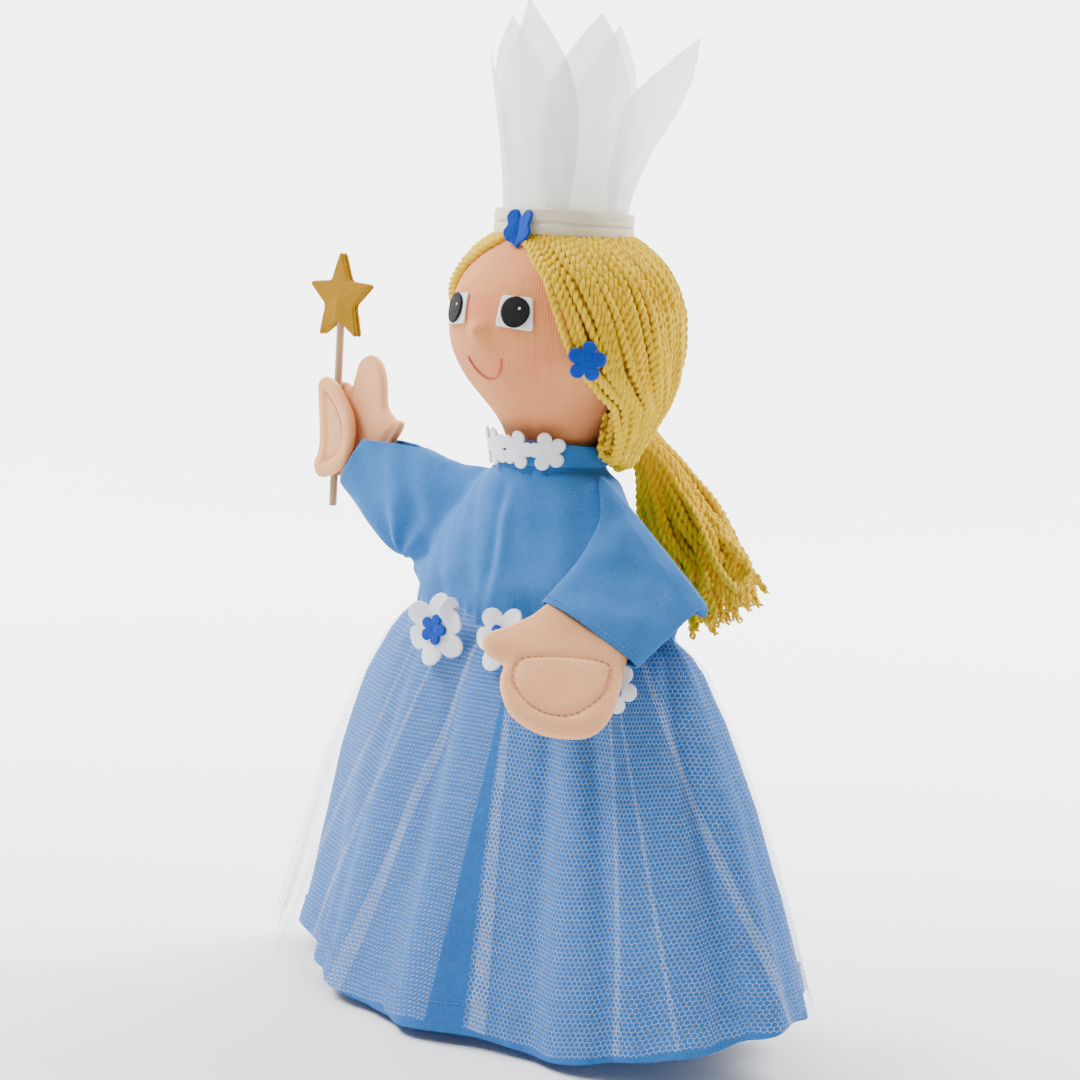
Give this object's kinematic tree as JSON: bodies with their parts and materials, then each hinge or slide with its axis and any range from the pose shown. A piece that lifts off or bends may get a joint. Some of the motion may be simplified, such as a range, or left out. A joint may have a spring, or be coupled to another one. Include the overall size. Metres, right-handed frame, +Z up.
{
  "type": "glove puppet",
  "caption": "Hand-worn princess doll puppet with a hard round head on a finger tube, yarn wig, sheer crown, dress with net overskirt, stuffed felt hands and a star wand.",
  "frame": {"origin": "centre of the lower mouth of the finger tube, on the neck axis", "axes": "+Z up along the neck, the puppet faces -Y, its left hand is at +X"},
  "size_m": [0.2416, 0.1205, 0.331],
  "materials": {
    "knit": "fine knitted cover, matt",
    "pulp": "raw pressed core",
    "cardboard": "spiral wound tube",
    "white_felt": "cut felt",
    "black_felt": "cut felt, matt",
    "blue_felt": "cut felt",
    "red_thread": "stitched thread",
    "yarn": "two-ply knitting yarn",
    "elastic": "wound yarn tie",
    "ribbon": "folded tape",
    "organza": "sheer stiff organza",
    "blue_cloth": "plain dress cotton",
    "sleeve_cloth": "plain dress cotton",
    "skirt_cloth": "plain dress cotton",
    "tulle": "hexagonal net",
    "peach_cloth": "brushed cotton, stuffed",
    "wadding": "loose polyester filling",
    "wood": "bare sanded dowel",
    "yellow_felt": "cut felt",
    "thread": "sewing thread"
  },
  "bodies": {
    "bodice": {"bodice_front": "blue_cloth", "bodice_back": "blue_cloth"},
    "collar": {"neck_band": "blue_cloth", "collar_flowers": "white_felt"},
    "head": {"head_core": "pulp", "finger_tube": "cardboard", "face_cover": "knit", "nose_stuffing": "wadding", "eye_white_left": "white_felt", "eye_white_right": "white_felt", "eye_pupil_left": "black_felt", "eye_pupil_right": "black_felt", "mouth_stitch": "red_thread", "yarn_wig": "yarn", "hair_flower_left": "blue_felt", "hair_flower_right": "blue_felt", "crown_band": "ribbon", "crown_flower": "blue_felt", "crown_petal_1": "organza", "crown_petal_2": "organza", "crown_petal_3": "organza", "crown_petal_4": "organza", "crown_petal_5": "organza", "crown_petal_6": "organza"},
    "ponytail": {"ponytail": "yarn", "hair_tie": "elastic"},
    "left_arm": {"left_sleeve": "sleeve_cloth"},
    "right_arm": {"right_sleeve": "sleeve_cloth"},
    "left_hand": {"left_hand_palm": "peach_cloth", "left_hand_back": "peach_cloth", "left_hand_wadding": "wadding", "left_hand_stitching": "thread"},
    "right_hand": {"right_hand_palm": "peach_cloth", "right_hand_fingers": "peach_cloth", "right_hand_stitching": "thread"},
    "wand": {"wand_stick": "wood"},
    "star": {"star_front": "yellow_felt", "star_back": "yellow_felt"},
    "skirt": {"underskirt": "skirt_cloth", "skirt_hem": "skirt_cloth", "tulle_overskirt": "tulle", "waist_flowers": "white_felt", "waist_flower_centres": "blue_felt"}
  },
  "joints": [
    {"name": "neck_turn", "type": "hinge", "parent": "bodice", "child": "collar", "pos_m": [0, 0, 0], "axis": [0, 0, 1], "range_deg": [-20, 30]},
    {"name": "head_nod", "type": "hinge", "parent": "collar", "child": "head", "pos_m": [0, 0, 0.004], "axis": [1, 0, 0], "range_deg": [-8, 8]},
    {"name": "ponytail_swing", "type": "hinge", "parent": "head", "child": "ponytail", "pos_m": [0.005, 0.0396, 0.006], "axis": [1, 0, 0], "range_deg": [0, 25]},
    {"name": "left_shoulder", "type": "hinge", "parent": "bodice", "child": "left_arm", "pos_m": [0.0265, -0.004, -0.003], "axis": [-0.7579, -0.0832, 0.647], "range_deg": [0, 110]},
    {"name": "left_wrist", "type": "hinge", "parent": "left_arm", "child": "left_hand", "pos_m": [0.03243, -0.0337, -0.03949], "axis": [0.8258, 0.3287, -0.4583], "range_deg": [-12, 12]},
    {"name": "right_shoulder", "type": "hinge", "parent": "bodice", "child": "right_arm", "pos_m": [-0.031, 0, -0.0025], "axis": [0.6866, 0, 0.727], "range_deg": [-15, 70]},
    {"name": "right_wrist", "type": "hinge", "parent": "right_arm", "child": "right_hand", "pos_m": [-0.08031, 0, 0.00872], "axis": [-0.6502, 0, -0.7597], "range_deg": [-12, 12]},
    {"name": "wand_slide", "type": "slide", "parent": "right_hand", "child": "wand", "axis": [0, 0, 1], "range_m": [-0.003, 0.03]},
    {"name": "star_spin", "type": "hinge", "parent": "wand", "child": "star", "pos_m": [-0.1083, 0, 0.0496], "axis": [0, 0, 1], "continuous": true},
    {"name": "skirt_swing", "type": "hinge", "parent": "bodice", "child": "skirt", "pos_m": [0, 0, -0.05], "axis": [1, 0, 0], "range_deg": [-2, 8]}
  ]
}
